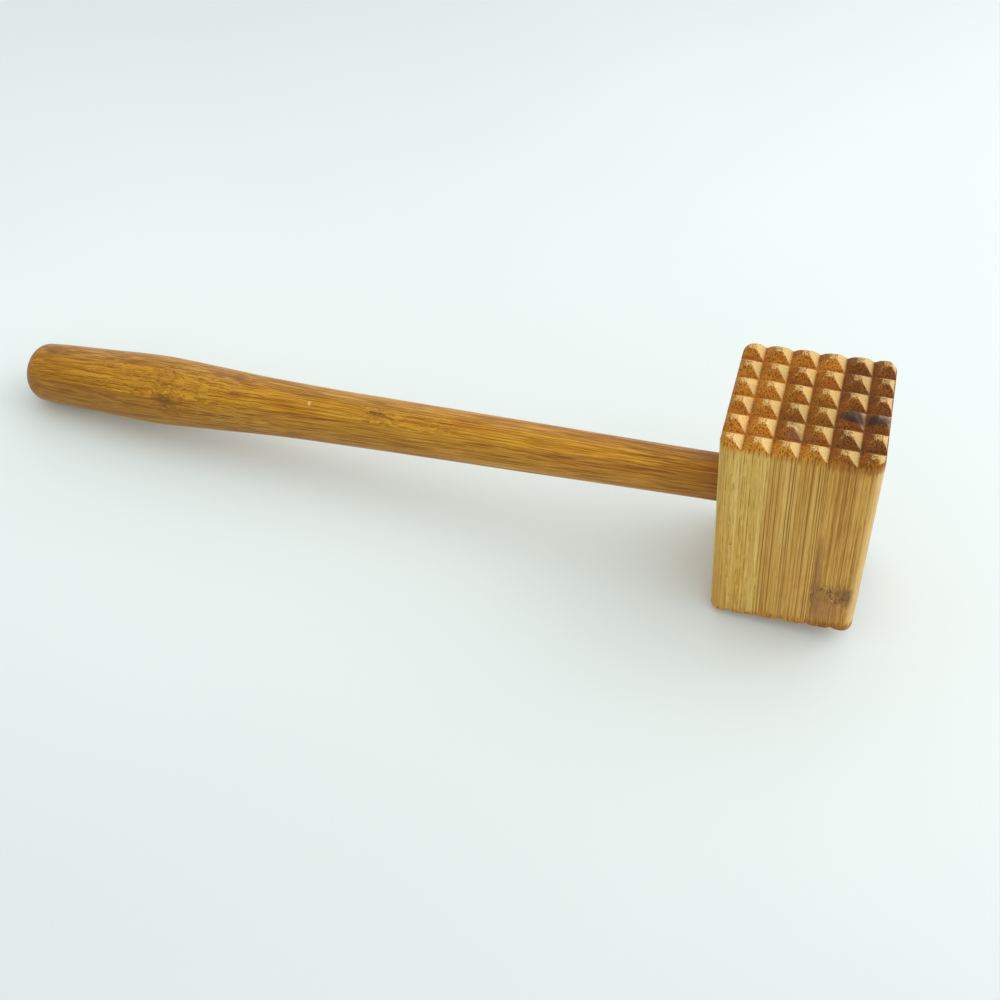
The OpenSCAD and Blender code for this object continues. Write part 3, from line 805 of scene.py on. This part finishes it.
for (ply, col), (o, node) in head_pieces.items():
    slot = SLOT_OF[node]
    look = dict(BASE_OF[slot])
    k = float(rng.uniform(0.90, 1.10))
    warm = float(rng.uniform(-0.05, 0.05))
    for key in ("side_hi", "side_lo", "blush", "end", "end_lo", "tip_and_lit_side"):
        r_, g_, b_ = look[key]
        look[key] = (r_ * k * (1 + warm), g_ * k, b_ * k * (1 - warm))
    look["offset"] = tuple(float(v) for v in rng.uniform(-90, 90, 3))
    look.update(meander=1.6, spacing=float(rng.uniform(0.76, 0.90)), dash=float(rng.uniform(26, 60)),
                streak_k=0.38, dash_k=0.60, gap_k=0.25, node_colour=tint(look["line"], 1.1),
                pore=0.80, rim=(4.3, 5.0, 5.8)[col], rim_tone=tint(look["end"], 1.15), side_stains=[], end_stains=[])
    if float(rng.uniform()) < 0.35:
        look["nodes"] = [(float(rng.uniform(14, 82)), float(rng.uniform(3.5, 5.5)))]
    if ply == 1:
        look["nodes"] = []
        look["spacing"] = (0.95, 1.22, 1.12)[col]
        cast = ((1.10, 1.17, 1.30), (1.07, 1.07, 1.24), (1.19, 1.15, 1.16))[col]
        for key in ("side_hi", "side_lo", "blush"):
            look[key] = tuple(v * c for v, c in zip(look[key], cast))
        look["line"] = ((0.40, 0.190, 0.024), (0.37, 0.148, 0.014), (0.33, 0.130, 0.013))[col]
        if col == 0:
            look.update(dash=5.5, dash_k=0.66, streak_k=0.30, meander=2.0, gap_k=0.0, fine_k=0.42)
            look["side_stains"] = [((-26.5, -28.5, 14), (4.0, 3, 13), (0.62, 0.30, 0.065), 0.6),
                                   ((-21.9, -28.5, 72.5), (0.30, 2, 2.2), (0.20, 0.10, 0.020), 0.55),
                                   ((-21.6, -28.5, 41.5), (0.45, 2, 0.7), (0.15, 0.085, 0.025), 0.80)]
        elif col == 1:
            look.update(dash=60.0, dash_k=0.86, streak_k=0.40, meander=0.9, gap_k=0.6, fine_k=0.34)
            look["side_stains"] = [((-3.4, -28.5, 4.6), (0.7, 2, 0.8), (0.05, 0.025, 0.01), 0.95)]
        else:
            look.update(dash=30.0, dash_k=0.86, streak_k=0.54, meander=1.1, gap_k=0.4, fine_k=0.52,
                        nodes=[(21.5, 11.0)], node_k=0.50, node_colour=(0.250, 0.108, 0.036))
            look["side_stains"] = [((12.0, -28.5, 30), (1.9, 4, 26), (0.30, 0.118, 0.050), 0.60),
                                   ((23.5, -28.5, 23), (4.5, 4, 6), (0.21, 0.088, 0.038), 0.60),
                                   ((15.0, -28.5, 11), (6.0, 4, 8), (0.34, 0.140, 0.060), 0.50)]
    if (ply, col) == (4, 2):
        look["end_stains"] = [((19.5, -5.4, 93.6), (13.0, 3.6, 2.6), PURPLE, 0.93),
                              ((25.5, -4.0, 94.6), (1.6, 1.6, 1.4), GREYISH, 0.6)]
        look["side_stains"] = [((28.5, -5.4, 88), (3, 3, 22), PURPLE, 0.6)]
        look["tip_and_lit_side"] = (0.42, 0.30, 0.20)
    if (ply, col) == (3, 1):
        look["end_stains"] = [((-3.0, -15.0, 93.8), (3.6, 2.4, 2.4), (0.22, 0.12, 0.10), 0.5)]
    if (ply, col) == (2, 1):
        look["end_stains"] = [((-2.0, -18.5, 93.0), (6.0, 2.6, 2.4), (0.26, 0.115, 0.07), 0.55)]
    m = bamboo_head("bamboo_" + node, ply, col, look)
    o.data.materials.clear()
    o.data.materials.append(m)
    o.matrix_world = REST
    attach(o, "root")
    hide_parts(node)

GOLD = dict(hi=(0.64, 0.300, 0.017), lo=(0.48, 0.196, 0.009), blush=(0.59, 0.218, 0.011),
            line=(0.22, 0.072, 0.005), light=(0.74, 0.41, 0.052), end=(0.36, 0.145, 0.012))
TAN_H = dict(hi=(0.57, 0.290, 0.036), lo=(0.42, 0.180, 0.015), blush=(0.46, 0.162, 0.019),
             line=(0.20, 0.066, 0.007), light=(0.66, 0.375, 0.075), end=(0.30, 0.115, 0.014))
BROWN_H = dict(hi=(0.56, 0.272, 0.026), lo=(0.42, 0.178, 0.014), blush=(0.47, 0.172, 0.021),
               line=(0.20, 0.068, 0.008), light=(0.62, 0.325, 0.055), end=(0.26, 0.098, 0.012))
HANDLE_OF = {"handle_gold": GOLD, "handle_tan": TAN_H, "handle_brown": BROWN_H}

for (ply, side), (o, node) in handle_pieces.items():
    slot = SLOT_OF[node]
    look = dict(HANDLE_OF[slot])
    look["offset"] = tuple(float(v) for v in rng.uniform(-90, 90, 3))
    # The brown strips' longer darkening towards the butt is painted shade.
    look.update(meander=2.0, spacing=float(rng.uniform(0.95, 1.15)), dash=float(rng.uniform(12, 22)),
                streak_k=0.62, dash_k=0.56, node_colour=tint(look["line"], 1.25), nodes=[],
                held=(-225.0, -300.0, 0.0, 0.34) if slot == "handle_brown" else (-290.0, -322.0, 0.0, 0.26))
    if (ply, side) == (1, "front"):
        look["nodes"] = [(-169.5, 8.5), (-262.0, 10.0)]
        look["node_k"] = 0.25
        look["meander"] = 2.8
        look["figure"] = [(-262.0, 52.0, 3.2, 1.4), (-150.0, 20.0, 3.8, 1.2)]
        look["marks"] = [((-263.0, -12.3, AXIS_Z + 7.4), (5.0, 1.8, 1.7), (0.15, 0.062, 0.012), 0.60, 1.3),
                         ((-170.0, -4.6, AXIS_Z + 10.0), (4.6, 1.1, 0.9), (0.14, 0.058, 0.012), 0.65, 1.8),
                         ((-199.0, -4.9, AXIS_Z + 10.3), (0.8, 1.2, 1.2), (0.80, 0.55, 0.20), 0.8, 0.8)]
    if (ply, side) == (1, "back"):
        for key in ("hi", "lo", "blush"):
            look[key] = tuple(v * c for v, c in zip(look[key], (0.98, 0.92, 0.90)))
        look["marks"] = [((-320.0, 0.4, AXIS_Z + 12.4), (4.0, 2.0, 1.8), (0.19, 0.066, 0.016), 0.60, 0.9),
                         ((-236.0, 1.5, AXIS_Z + 12.6), (14.0, 2.0, 2.0), (0.25, 0.085, 0.030), 0.6, 0.4)]
    if (ply, side) == (2, "front"):
        look["nodes"] = [(-260.0, 9.0)]
        look["marks"] = [((-261.0, -12.6, AXIS_Z + 6.0), (4.5, 1.8, 1.4), (0.15, 0.062, 0.012), 0.55, 1.3)]
    m = bamboo_handle("bamboo_" + node, look)
    o.data.materials.clear()
    o.data.materials.append(m)
    o.matrix_world = REST
    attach(o, "root")
    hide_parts(node)


# ---------------------------------------------------------------------------
# Floor: pale matt paper, very slightly cool, with painted light: it glows faintly and is painted darker towards the
# back left and the front.
def floor_material():
    g = Graph("floor_paper")
    place = g.node("ShaderNodeTexCoord").outputs["Object"]
    soft = g.noise(place, 2.2, 3.0, 0.5)
    tooth = g.noise(place, 900.0, 2.0, 0.6)
    colour = g.mix(g.step(soft, 0.3, 0.7), (0.755, 0.805, 0.795), (0.790, 0.835, 0.825))
    fx, fy, _ = g.split(place)
    # Painted shade: the paper darkens towards the back left and towards the front, where the light falls off.
    painted_falloff = g.math("ADD", g.math("MULTIPLY", fx, -0.55), g.math("MULTIPLY", fy, 0.84))
    colour = g.mix(g.step(painted_falloff, 0.10, 0.52, 0.0, 0.17), colour, (0.0, 0.0, 0.0))
    colour = g.mix(g.step(fy, -0.04, -0.24, 0.0, 0.11), colour, (0.0, 0.0, 0.0))
    shader = g.node("ShaderNodeBsdfPrincipled")
    g.put(shader.inputs["Base Color"], colour)
    g.put(shader.inputs["Roughness"], g.math("MULTIPLY_ADD", tooth, 0.15, 0.62))
    shader.inputs["Specular IOR Level"].default_value = 0.25
    # Painted light: the paper glows faintly, which lifts the shadows on and near it.
    shader.inputs["Emission Color"].default_value = (0.90, 1.0, 0.95, 1.0)
    shader.inputs["Emission Strength"].default_value = 0.068
    g.put(shader.inputs["Normal"], g.bump(tooth, 0.12, 0.0002))
    out = g.node("ShaderNodeOutputMaterial")
    g.put(out.inputs["Surface"], shader.outputs[0])
    return g.material


bm = bmesh.new()
bmesh.ops.create_grid(bm, x_segments=16, y_segments=16, size=16.0)
floor_mesh = bpy.data.meshes.new("floor")
bm.to_mesh(floor_mesh)
bm.free()
floor = link("floor", floor_mesh)
floor.location = (0, 0, -0.0002)
floor.data.materials.append(floor_material())


# ---------------------------------------------------------------------------
# Soft studio light.
def area(name, at, aim, size_x, size_y, power, colour=(1, 1, 1)):
    d = bpy.data.lights.new(name, "AREA")
    d.shape = "RECTANGLE"
    d.size, d.size_y = size_x, size_y
    d.energy = power
    d.color = colour
    o = bpy.data.objects.new(name, d)
    bpy.context.scene.collection.objects.link(o)
    o.location = at
    o.rotation_mode = "QUATERNION"
    o.rotation_quaternion = (Vector(aim) - Vector(at)).to_track_quat("-Z", "Y")
    return o


area("key", (0.95, 0.28, 1.02), (0.12, 0.0, 0.03), 0.75, 0.75, 2.6, (1.0, 0.96, 1.02))
area("window", (1.05, 1.05, 0.42), (0.12, 0.0, 0.05), 1.0, 0.6, 3.2, (1.0, 0.97, 1.03))

# The room: bright behind and to the right, dimmer on the camera's side.
world = bpy.data.worlds.new("studio")
bpy.context.scene.world = world
world.use_nodes = True
tree = world.node_tree
tree.nodes.clear()
toward = tree.nodes.new("ShaderNodeVectorMath")
toward.operation = "DOT_PRODUCT"
toward.inputs[1].default_value = (0.55, 0.50, 0.67)
tree.links.new(tree.nodes.new("ShaderNodeTexCoord").outputs["Generated"], toward.inputs[0])
ramp = tree.nodes.new("ShaderNodeMapRange")
ramp.interpolation_type = "SMOOTHSTEP"
for key, value in (("From Min", -0.35), ("From Max", 1.0), ("To Min", 0.53), ("To Max", 1.24)):
    ramp.inputs[key].default_value = value
tree.links.new(toward.outputs["Value"], ramp.inputs["Value"])
back = tree.nodes.new("ShaderNodeBackground")
back.inputs["Color"].default_value = (0.945, 0.993, 0.982, 1.0)
tree.links.new(ramp.outputs["Result"], back.inputs["Strength"])
world_out = tree.nodes.new("ShaderNodeOutputWorld")
tree.links.new(back.outputs[0], world_out.inputs["Surface"])

view = bpy.context.scene.view_settings
view.view_transform = "Standard"
view.look = "None"
view.exposure = 0.0
view.gamma = 1.0

# ---------------------------------------------------------------------------
# Camera, as the photograph was taken: in front, a little right, looking down.
camera_data = bpy.data.cameras.new("camera")
camera = bpy.data.objects.new("camera", camera_data)
bpy.context.scene.collection.objects.link(camera)
camera_data.sensor_width = 36.0
camera_data.sensor_fit = "HORIZONTAL"
camera_data.lens = 52.58728561
camera_data.clip_start, camera_data.clip_end = 0.02, 20.0
camera_data.dof.use_dof = False
camera.matrix_world = Matrix((
    (0.95926816, -0.23912899, 0.15040586, 0.12305754),
    (0.27800122, 0.70447295, -0.65301852, -0.40032033),
    (0.05019880, 0.66823289, 0.74225662, 0.45714065),
    (0, 0, 0, 1),
))
bpy.context.scene.camera = camera

bpy.context.view_layer.update()
